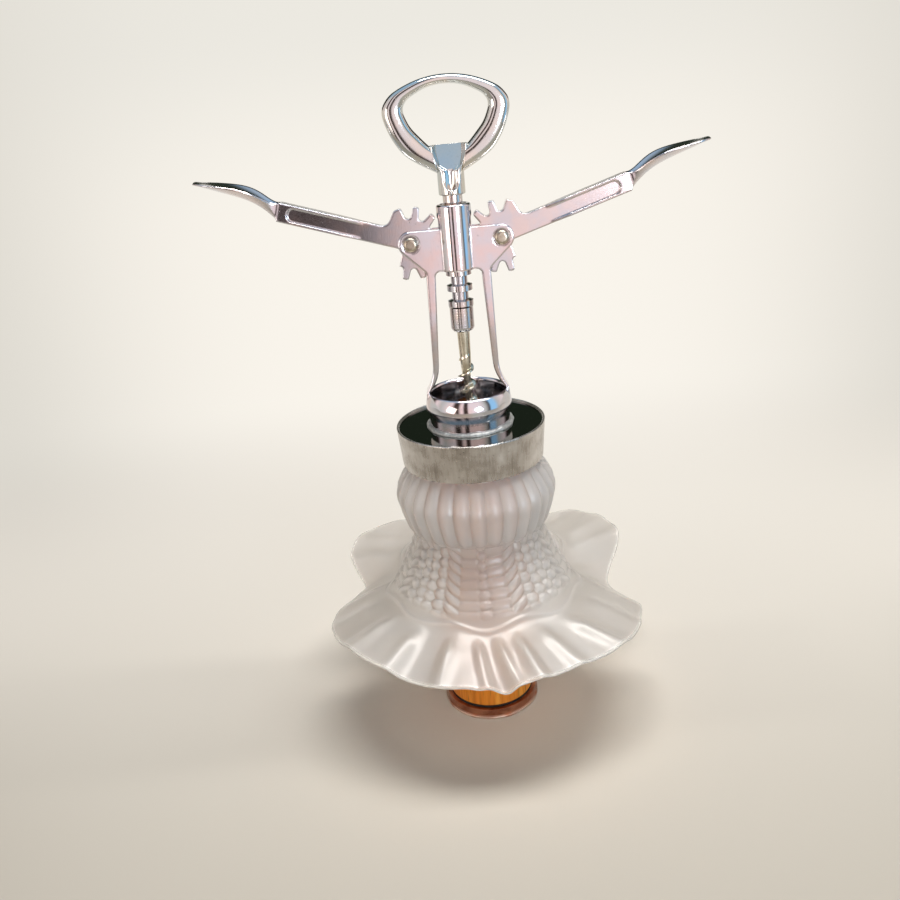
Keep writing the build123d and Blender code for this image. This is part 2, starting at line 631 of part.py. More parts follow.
with BuildPart() as right_lever:
    heel = (sector_heel, -arm_low)
    hook_foot = (hook_foot_x, arm_high)
    with BuildSketch(lever_plane) as plate:
        Circle(tooth_tip_r)
        with BuildLine():
            Polyline(heel, (sector_heel, -valley_mouth_r), (valley_mouth_r, -valley_mouth_r),
                     (valley_mouth_r, -arm_low), close=True)
        make_face(mode=Mode.SUBTRACT)
        with BuildLine():
            Polyline(hook_foot, (hook_tip_x, valley_mouth_r), (valley_mouth_r, valley_mouth_r),
                     (valley_mouth_r, arm_high), close=True)
        make_face(mode=Mode.SUBTRACT)
        with PolarLocations(0, lever_tooth_count, start_angle=lever_first_tooth - tooth_angle / 2,
                            angular_range=tooth_angle * lever_tooth_count):
            add(tooth_valley.sketch, mode=Mode.SUBTRACT)
        with BuildLine():
            Polyline((0, -arm_low), (arm_len, -arm_low), (arm_len, arm_high), (0, arm_high), close=True)
        make_face()
        fillet(plate.vertices().sort_by_distance(heel)[0], sector_heel_round)
        fillet(plate.vertices().sort_by_distance(hook_foot)[0], hook_round)
        corners = plate.vertices()
        tips = corners.filter_by(lambda tip: abs(Vector(tip.X, tip.Y).length - tooth_tip_r) < seat_gap)
        fillet(tips, tooth_round)
    extrude(amount=lever_plate / 2, both=True)
    arm_underside = lever_plane.from_local_coords((0, -arm_low, 0))
    with BuildSketch(Plane(arm_underside, x_dir=lever_plane.x_dir, z_dir=lever_plane.y_dir)):
        with BuildLine():
            Polyline((flange_start, 0), (flange_start, lever_plate / 2),
                     (flange_start + flange_ramp, lever_flange / 2), (arm_len, lever_flange / 2),
                     (arm_len, -lever_flange / 2), (flange_start + flange_ramp, -lever_flange / 2),
                     (flange_start, -lever_plate / 2), close=True)
        make_face()
    extrude(amount=arm_low + arm_high)
    pocket_start = flange_start - overrun
    for face in (-1, 1):
        with BuildSketch(lever_plane.offset(face * lever_plate / 2)) as pocket:
            with BuildLine():
                Polyline((pocket_start, flange_edge - arm_low), (pocket_end, flange_edge - arm_low),
                         (pocket_end, arm_high - flange_edge), (pocket_start, arm_high - flange_edge),
                         close=True)
            make_face()
            fillet(pocket.vertices().group_by(Axis.X)[-1], pocket_round)
        extrude(amount=face * lever_flange / 2, mode=Mode.SUBTRACT)
    with BuildSketch(station_plane(arm_len)):
        with BuildLine():
            Polyline((-lever_flange / 2, -arm_low), (lever_flange / 2, -arm_low),
                     (lever_flange / 2, arm_high), (-lever_flange / 2, arm_high), close=True)
        make_face()
    for along, wide, under, edge, skin in paddle_station_shares:
        half_w = paddle_half_w * wide
        low = paddle_rise * under
        high = paddle_rise * edge
        thick = paddle_skin * skin
        side_low = high - thick * paddle_side_share
        with BuildSketch(station_plane(arm_len + paddle_len * along)):
            with BuildLine():
                ThreePointArc((-half_w, side_low), (0, low), (half_w, side_low))
                Line((half_w, side_low), (half_w, high))
                ThreePointArc((half_w, high), (0, low + thick), (-half_w, high))
                Line((-half_w, high), (-half_w, side_low))
            make_face()
    loft()
    with BuildSketch(lever_plane):
        Circle(rivet_r + running_gap)
    extrude(amount=lever_flange, both=True, mode=Mode.SUBTRACT)

with BuildPart() as left_lever:
    add(mirror(right_lever.part, about=Plane.YZ))

pieces = {
    "foot_ring": foot_ring, "wooden_post": wooden_post, "shade_cap": shade_cap, "post_screws": post_screws,
    "glass_shade": glass_shade, "neck_packing": neck_packing, "frame_casting": frame_casting,
    "cement_bead": cement_bead, "left_rivet": left_rivet, "right_rivet": right_rivet,
    "rack_sleeve": rack_sleeve, "spindle_rod": spindle_rod, "ferrule": ferrule, "worm": worm,
    "opener_handle": opener_handle, "left_lever": left_lever, "right_lever": right_lever,
}
os.makedirs("parts", exist_ok=True)
for name, piece in pieces.items():
    piece.part.label = name
    export_step(piece.part, f"parts/{name}.step")
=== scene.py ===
import bpy
import numpy as np
from mathutils import Matrix


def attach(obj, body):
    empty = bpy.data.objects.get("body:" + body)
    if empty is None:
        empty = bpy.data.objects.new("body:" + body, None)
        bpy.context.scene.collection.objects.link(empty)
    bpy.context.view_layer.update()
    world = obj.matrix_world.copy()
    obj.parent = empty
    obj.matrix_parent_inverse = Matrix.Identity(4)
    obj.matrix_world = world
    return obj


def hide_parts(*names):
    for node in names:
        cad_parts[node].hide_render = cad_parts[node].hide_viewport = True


# A wing corkscrew that stands on a lamp-shade cap, a ruffled glass shade and a wooden post.
# Metres, +Z up, the front towards -Y, the origin under the middle of the foot.
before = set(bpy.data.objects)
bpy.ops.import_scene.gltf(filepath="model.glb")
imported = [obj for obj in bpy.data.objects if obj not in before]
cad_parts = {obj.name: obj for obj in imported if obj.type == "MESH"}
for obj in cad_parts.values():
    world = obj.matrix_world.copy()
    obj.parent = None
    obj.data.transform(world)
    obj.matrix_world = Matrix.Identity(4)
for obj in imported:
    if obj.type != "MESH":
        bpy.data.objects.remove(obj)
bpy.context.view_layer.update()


# Foot ring
# A shallow spun cup with a rolled bead, copper plated, wearing to a paler metal low on the bead where it is
# handled and stood down, also a painted highlight along the lower rim. The post is pressed into it.
class Wire:
    """A socket that gives a number, colour or vector. Sums, products and so on of numbers add Math nodes."""

    def __init__(self, socket):
        self.socket = socket
        self.tree = socket.id_data

    def node(self, kind, settings, sockets, output=0):
        """Any other node: its settings first, then the values or wires of its sockets."""
        made = self.tree.nodes.new(kind)
        for name, value in settings.items():
            if name == "stops":
                for position, colour in value[2:]:
                    made.color_ramp.elements.new(position)
                for stop, (position, colour) in zip(made.color_ramp.elements, value):
                    stop.position = position
                    stop.color = colour
            else:
                setattr(made, name, value)
        for name, value in sockets.items():
            if isinstance(value, Wire):
                self.tree.links.new(value.socket, made.inputs[name])
            else:
                made.inputs[name].default_value = value
        return Wire(made.outputs[output])

    def math(self, operation, first, second=0.0):
        return self.node("ShaderNodeMath", {"operation": operation}, {0: first, 1: second})

    def __add__(self, other):
        return self.math("ADD", self, other)

    def __sub__(self, other):
        return self.math("SUBTRACT", self, other)

    def __rsub__(self, other):
        return self.math("SUBTRACT", other, self)

    def __mul__(self, other):
        return self.math("MULTIPLY", self, other)

    def __truediv__(self, other):
        return self.math("DIVIDE", self, other)

    __radd__ = __add__
    __rmul__ = __mul__

    def ease(self, low, high):
        """0 below low, 1 above high, and a smooth step between."""
        return self.node("ShaderNodeMapRange", {"interpolation_type": "SMOOTHSTEP"},
                         {"Value": self, "From Min": low, "From Max": high})

    def mix(self, none, full):
        """Colour that goes from one to the other as this number goes from 0 to 1."""
        return self.node("ShaderNodeMix", {"data_type": "RGBA"}, {0: self, 6: none, 7: full}, 2)

    def ramp(self, stops):
        """Colour from stops along this number, each a position and its colour."""
        return self.node("ShaderNodeValToRGB", {"stops": stops}, {"Fac": self})

    def noise(self, size, detail=2.0, stretch=(1.0, 1.0, 1.0)):
        """Cloudy noise with features of a size in metres; a stretch above 1 draws them out along an axis."""
        scale = tuple(1.0 / (size * longer) for longer in stretch)
        placed = self.node("ShaderNodeMapping", {}, {"Vector": self, "Scale": scale})
        return placed.node("ShaderNodeTexNoise", {}, {"Vector": placed, "Scale": 1.0, "Detail": detail})

    def axes(self):
        """The three numbers of a vector."""
        parts = self.node("ShaderNodeSeparateXYZ", {}, {"Vector": self})
        return [Wire(out) for out in parts.socket.node.outputs]

    def bump(self, strength, depth, edge=0.0):
        """Normal of a surface that this number lifts by up to a depth in metres, with edges rounded off."""
        sockets = {"Strength": strength, "Distance": depth, "Height": self}
        if edge > 0:
            sockets["Normal"] = self.node("ShaderNodeBevel", {"samples": 8}, {"Radius": edge})
        return self.node("ShaderNodeBump", {}, sockets)


def rgb(red, green, blue):
    """Colour from the usual 0 to 255 screen values, as the shader's linear numbers."""
    screen = np.array([red, green, blue]) / 255.0
    linear = np.where(screen < 0.04045, screen / 12.92, ((screen + 0.055) / 1.055) ** 2.4)
    return (*linear.tolist(), 1.0)


def finish(name, **constants):
    """A new material with one Principled shader: the material, its shader and its Object coordinates."""
    material = bpy.data.materials.new(name)
    material.use_nodes = True
    tree = material.node_tree
    shader = tree.nodes["Principled BSDF"]
    for socket, value in constants.items():
        shader.inputs[socket.replace("_", " ").title().replace("Ior", "IOR")].default_value = value
    return material, shader, Wire(tree.nodes.new("ShaderNodeTexCoord").outputs["Object"])


def feed(shader, **wires):
    """Links what changes over the surface to the shader."""
    for socket, wire in wires.items():
        wire.tree.links.new(wire.socket, shader.inputs[socket.replace("_", " ").title()])


def dress(material, *nodes):
    """Gives CAD nodes their finish."""
    for node in nodes:
        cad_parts[node].material_slots[0].material = material


# Heights between which the paler metal of the bead, wear and painted highlight, gives way to the copper
bead_wear_and_highlight = (0.0006, 0.0022)


def worn_copper():
    """Copper plate in two tones with fine marks of spinning, wearing through low on the bead, where the paler
    metal is also a painted highlight.
    """
    material, shader, place = finish("worn_copper_plate", metallic=1.0)
    _, _, height = place.axes()
    cloud = place.noise(size=0.006, detail=4.0)
    spun = place.noise(size=0.0006, stretch=(18.0, 18.0, 1.0))
    # Paler metal low on the bead: real wear together with a painted highlight along the lower rim
    wear_and_painted_highlight = (1.0 - height.ease(*bead_wear_and_highlight)) * cloud.ease(0.30, 0.55)
    plate = cloud.ease(0.35, 0.7).mix(rgb(196, 140, 112), rgb(150, 98, 76))
    feed(shader, base_color=wear_and_painted_highlight.mix(plate, rgb(226, 206, 190)),
         roughness=0.20 + spun * 0.16 + cloud * 0.10,
         normal=(spun * 0.6 + cloud).bump(strength=0.25, depth=0.0002))
    return material


dress(worn_copper(), "foot_ring")

# Wooden post
# Turned oak, oiled to a golden brown, with straight grain up the post and a dark line of painted shadow
# just above the foot, the shade of the gap at its rim. It is pressed into the foot and stands up inside the
# shade to the cap.
gap_shadow_in = (0.0042, 0.0050)   # heights between which the painted shadow comes in
gap_shadow_out = (0.0054, 0.0068)  # heights between which it goes out


def oiled_oak():
    """Oak: grain, figure and pores are noise drawn out up the post; the painted shadow above the foot is a
    band of heights.
    """
    material, shader, place = finish("oiled_oak", coat_weight=0.12, coat_roughness=0.30,
                                     specular_ior_level=0.3)
    _, _, height = place.axes()
    grain = place.noise(size=0.0016, detail=6.0, stretch=(1.0, 1.0, 22.0))
    fibre = place.noise(size=0.0005, detail=3.0, stretch=(1.0, 1.0, 40.0))
    figure = place.noise(size=0.011, detail=3.0, stretch=(1.0, 1.0, 6.0))
    timber = (grain * 0.6 + figure * 0.4).ramp([(0.22, rgb(168, 82, 14)), (0.45, rgb(226, 130, 34)),
                                                (0.62, rgb(246, 164, 60)), (0.85, rgb(254, 196, 98))])
    pores = (1.0 - fibre.ease(0.30, 0.42)) * 0.75
    # Painted shadow: a dark band just above the foot, where the gap at its rim lies in shade
    gap_shadow = height.ease(*gap_shadow_in) * (1.0 - height.ease(*gap_shadow_out))
    feed(shader, base_color=gap_shadow.mix(pores.mix(timber, rgb(92, 52, 16)), rgb(24, 14, 8)),
         roughness=0.42 + grain * 0.22,
         normal=(grain * 0.5 - pores).bump(strength=0.35, depth=0.0002))
    return material


dress(oiled_oak(), "wooden_post")

# Shade cap
# A spun metal gallery cap, nickel plated: its deck keeps the mirror polish, its wall is satin with fine
# upright streaks and grey tarnish. It is screwed down on the post, and the shade's neck is cemented into it.
deck_height = 0.1406
mirror_heights = (deck_height - 0.0004, deck_height - 0.0001)
mirror_edge = (0.0308, 0.0312)


def tarnished_nickel():
    """Satin nickel with streaks, stains and pits, and the mirror of the deck inside the rim."""
    material, shader, place = finish("tarnished_nickel", metallic=1.0)
    across, along, height = place.axes()
    radius = across.math("SQRT", across * across + along * along)
    streaks = place.noise(size=0.0009, detail=4.0, stretch=(1.0, 1.0, 14.0))
    stain = place.noise(size=0.007, detail=5.0)
    mirror = height.ease(*mirror_heights) * (1.0 - radius.ease(*mirror_edge))
    wall = (stain * 0.75 + streaks * 0.25).ramp([(0.28, rgb(150, 142, 134)), (0.5, rgb(190, 184, 178)),
                                                 (0.72, rgb(216, 212, 208))])
    pits = (1.0 - place.noise(size=0.0011).ease(0.24, 0.33)) * 0.5 * (1.0 - mirror)
    satin = 0.16 + streaks * 0.10 + stain * 0.14 + pits * 0.2
    feed(shader, base_color=mirror.mix(pits.mix(wall, rgb(98, 90, 80)), rgb(150, 150, 146)),
         roughness=satin * (1.0 - mirror) + mirror * 0.05,
         normal=(streaks * 0.3 - pits).bump(strength=0.10, depth=0.00015, edge=0.0006))
    return material


dress(tarnished_nickel(), "shade_cap")


# Post screws
# Zinc-plated round-head wood screws through the cap's deck into the post, hidden in the bell unless one
# looks down into it.
def zinc_plate():
    """Zinc plate, clouded in tone and gloss."""
    material, shader, place = finish("zinc_plate", metallic=1.0)
    cloud = place.noise(size=0.002, detail=4.0)
    feed(shader, base_color=cloud.mix(rgb(150, 150, 146), rgb(200, 198, 190)),
         roughness=0.25 + cloud * 0.25,
         normal=cloud.bump(strength=0.2, depth=0.0001))
    return material


dress(zinc_plate(), "post_screws")

# Glass shade
# Pressed frosted glass: a neck with a retaining lip, a bulb with upright flutes that end in scallops, a waist
# with panels of beads, bars and leaf drops, and a wide skirt that was ruffled by hand while it was soft.
neck_lip_r = 0.0286
neck_r = 0.0272
neck_in_r = 0.0244
neck_top = 0.1386
neck_lip_low = 0.1346
neck_cone_low = 0.1332
neck_low = 0.1251
glass_wall = 0.0028
glass_hem = 0.0017
# Radius and height of the plain shade at the neck, the bulb, the waist, the start of the skirt and the hem,
# and one place more between each two, as shares of the way across and down
shade_places = np.array([(neck_r, neck_low), (0.0344, 0.1100), (0.0282, 0.0921), (0.0430, 0.0646),
                         (0.0700, 0.0546)])
between_shares = np.array([(0.67, 0.50), (0.50, 0.67), (0.33, 0.50), (0.50, 0.50)])
# The ruffle: how much each of these nine rows takes part, the largest swings, and the hem's shares of them at
# every 15 degrees around from the front
ruffle_shares = np.array([0.0, 0.0, 0.0, 0.0, 0.0, 0.08, 0.3, 0.65, 1.0])
hem_swing_r = 0.014
hem_swing_z = 0.024
hem_out_shares = np.array([-0.25, -0.10, -0.15, 0.06, 0.18, 0.14, 0.09, -0.55, 0.75, 0.75, 0.30, -0.10,
                           -0.10, -0.10, 0.20, 0.50, 0.40, -0.72, 0.05, 0.10, 0.00, -0.10, -0.22, -0.15])
hem_lift_shares = np.array([-0.14, -0.01, -0.04, -0.04, -0.12, -0.26, -0.46, -0.28, 0.28, 0.42, 0.32, 0.18,
                            0.10, 0.20, 0.40, 0.50, 0.35, -0.05, -0.22, -0.15, 0.00, 0.05, -0.10, -0.05])
shade_turns = np.linspace(0, 2 * np.pi, 440, endpoint=False)
hem_row = 8.0


def eased(values, position):
    """Smooth curve through equally spaced rows of values, at row positions: each stretch is the cubic whose
    slope at a row is half the step between that row's neighbours."""
    row = np.clip(np.floor(position).astype(int), 0, len(values) - 2)
    part = (position - row).reshape(-1, *([1] * (values.ndim - 1)))
    before, here = values[np.maximum(row - 1, 0)], values[row]
    after, beyond = values[row + 1], values[np.minimum(row + 2, len(values) - 1)]
    bend = 2 * before - 5 * here + 4 * after - beyond
    twist = 3 * here - before - 3 * after + beyond
    return here + ((after - before) * part + bend * part ** 2 + twist * part ** 3) / 2


def step(values, low, high):
    """0 below low, 1 above high, smooth between."""
    part = np.clip((values - low) / (high - low), 0.0, 1.0)
    return part * part * (3 - 2 * part)


def shade_line(rows, ruffled=1.0):
    """Plain outside of the glass below the neck: radius and height for each row (0 at the neck, 8 at the hem)
    and each turn, from the nine places of the profile, the lower ones moved out and up by the ruffle."""
    profile = [shade_places[0]]
    for upper, lower, share in zip(shade_places, shade_places[1:], between_shares):
        profile += [upper + (lower - upper) * share, lower]
    profile = np.array(profile)
    wrapped = np.arange(-2, len(hem_out_shares) + 3) % len(hem_out_shares)
    steps = shade_turns / (2 * np.pi) * len(hem_out_shares) + 2
    out = ruffled * hem_swing_r * eased(hem_out_shares[wrapped], steps)
    lift = ruffled * hem_swing_z * eased(hem_lift_shares[wrapped], steps)
    r = profile[:, :1] + ruffle_shares[:, None] * out
    z = profile[:, 1:] + ruffle_shares[:, None] * lift
    return eased(r, rows), eased(z, rows)


# The flutes: number, depth, roundness, and in rows where they start, end and how far their ends are rounded
flute_count = 30
flute_depth = 0.0017
flute_power = 0.8
flute_start = (0.15, 0.9)
flute_end = 3.32
flute_end_round = 0.28
flute_end_soft = 0.05
# The panels: rows at the top and bottom and where they come in and go out, the pitch of their beads, and the
# heights of beads, bars and leaf drops
relief_top = 3.30
relief_low = 5.85
relief_in = (relief_top - 0.05, relief_top + 0.06)
relief_out = (relief_low - 0.25, relief_low)
relief_pitch = 0.0046
bead_h = 0.0013
bar_h = 0.0008
leaf_h = 0.0014
# Columns of a panel from its middle outwards: height, middle and half width in degrees, beads to a pitch,
# start and lean as shares of a pitch, and the power that squares off the ends
panel_columns = [(bead_h, 0.0, 4.2, 1.1, 0.0, 0.0, 2.0), (bar_h, 10.5, 7.6, 1.0, 0.5, 0.0, 6.0),
                 (leaf_h, 23.0, 6.5, 1.0, 0.0, 0.55, 2.0), (bead_h, 33.0, 4.6, 1.0, 0.3, 0.0, 2.0),
                 (bead_h, 41.3, 4.4, 1.0, 0.8, 0.0, 2.0)]
# The border under the panels: its height; in rows its middle, the swing of its arches and its half width; and
# the number of arches
border_h = 0.0005
border_row = 6.02
border_swing = 0.10
border_half = 0.07
border_count = 8


def shade_relief(rows):
    """Height of the pressed relief over the plain glass. Flutes: the size of a cosine of the turn, cut off in
    round ends. Panels, four around, mirrored: columns of beads, bars and leaf drops, each a dome of its place
    across the column and along the pitch. Border: a bell curve across a row that waves with the turn."""
    turn, row = np.meshgrid(shade_turns, rows)
    flute = np.abs(np.cos(flute_count / 2 * turn))
    ends = flute_end - flute_end_round * (1 - np.sqrt(np.clip(1 - (1 - flute) ** 2, 0, 1)))
    fluted = step(row, *flute_start) * (1 - step(row, ends - flute_end_soft, ends + flute_end_soft))
    r, z = shade_line(rows, 0.0)
    way = np.cumsum(np.hypot(np.gradient(r[:, 0]), np.gradient(z[:, 0])))
    count = ((way - np.interp(relief_top, rows, way)) / relief_pitch)[:, None]
    quarter = np.degrees(np.abs((turn + np.pi / 4) % (np.pi / 2) - np.pi / 4))
    domes = []
    for tall, middle, half, rate, start, lean, power in panel_columns:
        across = (quarter - middle) / half
        beside = ((count * rate + start + lean * across) % 1.0 - 0.5) * 2
        domes.append(tall * np.sqrt(np.clip(1 - np.abs(across) ** power - beside ** 2, 0, 1)))
    panel = step(row, *relief_in) * (1 - step(row, *relief_out))
    arches = border_row + border_swing * np.cos(border_count * turn)
    border = border_h * np.exp(-((row - arches) / border_half) ** 2)
    return flute_depth * (flute ** flute_power - 0.5) * fluted + panel * np.max(domes, axis=0) + border


# The folds go through the whole glass. Where each starts around the shade, how far it leans on the way to the
# hem and its half width, in degrees, and its share of the largest height
fold_h = 0.0026
fold_start_row = 6.15
folds = [(-170, 5, 6, 0.6), (-151, 4, 7, 0.8), (-132, 5, 6, 0.6), (-120, 5, 4, 0.6), (-106, 4, 4, 0.7),
         (-93, -2, 6, 0.7), (-76, -3, 7, 0.7), (-57, -2, 5, 0.9), (-38, -1, 4, 0.7), (-18, -1, 3.4, 0.9),
         (-6, 5, 2.7, 1.0), (4, 5, 2.6, 1.0), (14, 4, 2.4, 0.7), (27, 6, 3.4, 0.55), (43, 9, 4.2, 0.85),
         (65, 4, 6, 0.6), (83, 3, 6, 0.7), (102, 6, 4, 0.7), (114, 6, 4, 0.8), (125, 5, 4, 0.6),
         (137, 5, 6, 0.6), (155, 5, 7, 0.8)]
# A fold's furrows: their depth as a share of its height and their width as a multiple of its own
furrow_share = 0.4
furrow_width = 2.2
# Short waves of the hem at the front: turn and half width in degrees, drop in metres
hem_waves = [(-19, 3.5, 0.0012), (-8, 4.5, -0.0010), (6, 4.0, 0.0024), (14, 3.0, -0.0008)]


def turn_gap(turn, middle):
    """Angle from a middle to a turn, the short way around."""
    return (turn - middle + np.pi) % (2 * np.pi) - np.pi


def shade_folds(rows):
    """Outward height of the folds and the hem's drop. A fold is a bell curve across the turn with a shallow
    furrow on either side, which leans as it goes down the skirt and grows towards the hem."""
    turn, row = np.meshgrid(shade_turns, rows)
    way = np.clip((row - fold_start_row) / (hem_row - fold_start_row), 0, 1)
    height = np.zeros_like(turn)
    for start, lean, half, share in folds:
        off = (turn_gap(turn, np.radians(start + lean * way)) / np.radians(half)) ** 2
        bell = np.exp(-off) - furrow_share * np.exp(-off / furrow_width ** 2)
        height += fold_h * share * step(way, 0.0, 0.5) * bell
    drop = np.zeros_like(turn)
    for middle, half, low in hem_waves:
        off = (turn_gap(turn, np.radians(middle)) / np.radians(half)) ** 2
        drop += low * step(way, 0.4, 1.0) * np.exp(-off)
    return height, drop


def shade_wall(rows, thickness, relief):
    """Radius and height of one side of the glass: the plain line moved square to itself by its folds and
    relief less the glass's thickness, and let down at the hem."""
    r, z = shade_line(rows)
    slope = np.arctan2(np.gradient(z, rows, axis=0), np.gradient(r, rows, axis=0))
    fold, drop = shade_folds(rows)
    height = fold + relief - thickness
    return r - np.sin(slope) * height, z + np.cos(slope) * height - drop


def around(radius, turns, height):
    """Points at a radius and height for each turn, counted from the front towards the right."""
    return np.stack([radius * np.sin(turns), -radius * np.cos(turns), height], axis=-1)


def ring_faces(rows, columns, closed):
    """Square faces of a grid that closes on itself along its columns, and along its rows too if closed."""
    row, column = np.meshgrid(np.arange(rows if closed else rows - 1), np.arange(columns), indexing="ij")
    below, beside = (row + 1) % rows, (column + 1) % columns
    corners = [row * columns + column, row * columns + beside,
               below * columns + beside, below * columns + column]
    return np.stack(corners, axis=-1).reshape(-1, 4)


def mesh_piece(name, points, faces, material):
    """A smooth-shaded object from whole arrays of points and faces."""
    mesh = bpy.data.meshes.new(name)
    mesh.from_pydata(points.reshape(-1, 3).tolist(), [], faces.tolist())
    mesh.polygons.foreach_set("use_smooth", np.ones(len(mesh.polygons), bool))
    mesh.materials.append(material)
    mesh.update()
    piece = bpy.data.objects.new(name, mesh)
    bpy.context.scene.collection.objects.link(piece)
    return piece


# The grid's rows lie closer where the relief is: first row, last row and number of each stretch
row_stretches = [(0.0, 0.9, 8), (0.9, 3.0, 24), (3.0, 4.0, 20), (4.0, 5.0, 34), (5.0, 6.1, 46)]
outer_rows = np.concatenate([np.linspace(first, last, count, endpoint=False)
                             for first, last, count in row_stretches] + [np.linspace(6.1, hem_row, 42)])
inner_rows = np.concatenate([np.linspace(0.0, 6.0, 14, endpoint=False), np.linspace(6.0, hem_row, 20)])
outer_relief = shade_relief(outer_rows)
outer_r, outer_z = shade_wall(outer_rows, 0.0, outer_relief)
thinner_from = 6.5
inner_wall = glass_wall + (glass_hem - glass_wall) * step(inner_rows, thinner_from, hem_row)[:, None]
inner_r, inner_z = (side[:0:-1] for side in shade_wall(inner_rows, inner_wall, 0.0))
rim_out = 0.0006
rim_down = 0.0002
rim_r = (outer_r[-1:] + inner_r[:1]) / 2 + rim_out
rim_z = (outer_z[-1:] + inner_z[:1]) / 2 - rim_down
neck_line = np.array([(neck_in_r, neck_low), (neck_in_r, neck_top), (neck_lip_r, neck_top),
                      (neck_lip_r, neck_lip_low), (neck_r, neck_cone_low)])
neck = np.repeat(neck_line[:, :, None], len(shade_turns), axis=2)
shade_r = np.concatenate([neck[:, 0], outer_r, rim_r, inner_r])
shade_z = np.concatenate([neck[:, 1], outer_z, rim_z, inner_z])
# Heights between which the bulb is painted whiter, as light falling on it
painted_bulb_light_heights = (0.088, 0.104)


def frosted_glass():
    """Frosted glass, painted whiter as highlight on the raised relief and the bulb and darker as shade in
    its hollows; the hem is fire-polished and painted with a highlight.
    """
    material, shader, place = finish("frosted_glass", transmission_weight=0.64, ior=1.46, coat_weight=0.7,
                                     coat_roughness=0.26)
    _, _, height = place.axes()
    raised = place.node("ShaderNodeAttribute", {"attribute_name": "relief_share"}, {}, "Fac")
    polish_and_painted_highlight = place.node("ShaderNodeAttribute", {"attribute_name": "hem_share"}, {}, "Fac")
    cloud = place.noise(size=0.03, detail=3.0)
    satin = place.noise(size=0.0007, detail=3.0)
    # Painted light: whiter on the raised relief and the bulb, darker as shade in the hollows; the cloud is
    # random tone
    tone_and_painted_light = cloud * 0.5 + raised * 0.5 + height.ease(*painted_bulb_light_heights) * 0.4
    # Painted highlight: the fire-polished hem is painted near white
    feed(shader, base_color=polish_and_painted_highlight.mix(tone_and_painted_light.mix(rgb(216, 210, 203), rgb(246, 243, 242)), rgb(255, 252, 248)),
         roughness=(0.36 + satin * 0.16) * (1.0 - 0.6 * polish_and_painted_highlight),
         normal=satin.bump(strength=0.08, depth=0.0001))
    return material


shade_faces = ring_faces(*shade_r.shape, True)[:, ::-1]
shade = mesh_piece("ruffled_glass_shade", around(shade_r, shade_turns, shade_z), shade_faces, frosted_glass())
rows_above = len(neck_line)
rows_within = len(rim_r) + len(inner_r)
# Rows from which the hem is fire-polished and painted with a highlight, outside and inside
polish_highlight_outside = 7.85
polish_highlight_inside = 7.7
relief_share = np.pad(outer_relief / leaf_h, ((rows_above, rows_within), (0, 0)), constant_values=0.5)
hem_share = np.concatenate([np.zeros(rows_above), step(outer_rows, polish_highlight_outside, hem_row), [1.0],
                            step(inner_rows[:0:-1], polish_highlight_inside, hem_row)])
for name, values in (("relief_share", relief_share), ("hem_share", np.repeat(hem_share, len(shade_turns)))):
    shade.data.attributes.new(name, "FLOAT", "POINT").data.foreach_set("value", values.ravel())
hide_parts("glass_shade")
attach(shade, "frame")


# Neck packing
# Grey cement that was pressed in between the shade's neck and the cap and has set there, out of sight unless
# seen from below.
def set_cement():
    """Rough cement, gritty and clouded."""
    material, shader, place = finish("set_cement")
    grit = place.noise(size=0.0012, detail=5.0)
    cloud = place.noise(size=0.006, detail=3.0)
    feed(shader, base_color=(grit * 0.6 + cloud * 0.4).mix(rgb(120, 118, 112), rgb(206, 204, 198)),
         roughness=0.7 + grit * 0.2,
         normal=grit.bump(strength=0.6, depth=0.0006))
    return material


dress(set_cement(), "neck_packing")


# Frame of the corkscrew
# One die casting: barrel, yoke with slotted ears, two legs and the bell, chromed. The plating is bright, with
# fine handling scratches, a little pitting and a faint pinkish tint in clouds, a painted reflection.
def chrome_finish(name, cool, painted_warm_reflection, dull, edge):
    """Chrome plate: a cool tone and a painted warm reflection in clouds, fine scratches, darker pits, and
    edges rounded by a radius.
    """
    material, shader, place = finish(name, metallic=1.0)
    cloud = place.noise(size=0.010, detail=3.0)
    scratch = place.noise(size=0.0005, detail=3.0, stretch=(1.0, 1.0, 9.0))
    pits = 1.0 - place.noise(size=0.0010).ease(0.24, 0.32)
    # The warm tone is a painted reflection of warm surroundings, laid in clouds
    plate = cloud.ease(0.35, 0.68).mix(cool, painted_warm_reflection)
    feed(shader, base_color=(pits * 0.5).mix(plate, rgb(120, 112, 104)),
         roughness=dull + cloud * 0.06 + scratch * 0.05 + pits * 0.2,
         normal=(scratch * 0.4 - pits).bump(strength=0.08, depth=0.0001, edge=edge))
    return material


bright_chrome = chrome_finish("bright_chrome", cool=rgb(214, 214, 220), painted_warm_reflection=rgb(226, 210, 208), dull=0.05,
                              edge=0.0011)
dress(bright_chrome, "frame_casting")

# Cement bead
# A lumpy ring of clear, half-silvery cement squeezed out around the foot of the bell where it is stuck down
# on the cap's deck.
bead_in_r = 0.01722
bead_w = 0.0020
bead_rise = 0.0017
bead_turns = np.linspace(0, 2 * np.pi, 180, endpoint=False)
bead_arc = np.linspace(0, np.pi / 2, 9)[:, None]
# The lumps are waves around the ring: number, share of the width, and start in radians
lump_waves = [(7, 0.10, 1.0), (17, 0.06, 0.0), (31, 0.04, 2.0)]
lumps = np.full_like(bead_turns, 0.80)
for count, share, start in lump_waves:
    lumps += share * np.sin(count * bead_turns + start)
bead_r = bead_in_r + bead_w * lumps * np.cos(bead_arc)
bead_z = deck_height + bead_rise * (0.9 * lumps + 0.1) * np.sin(bead_arc)
bead_r = np.concatenate([bead_r, np.full_like(bead_r[:1], bead_in_r)])
bead_z = np.concatenate([bead_z, np.full_like(bead_z[:1], deck_height)])


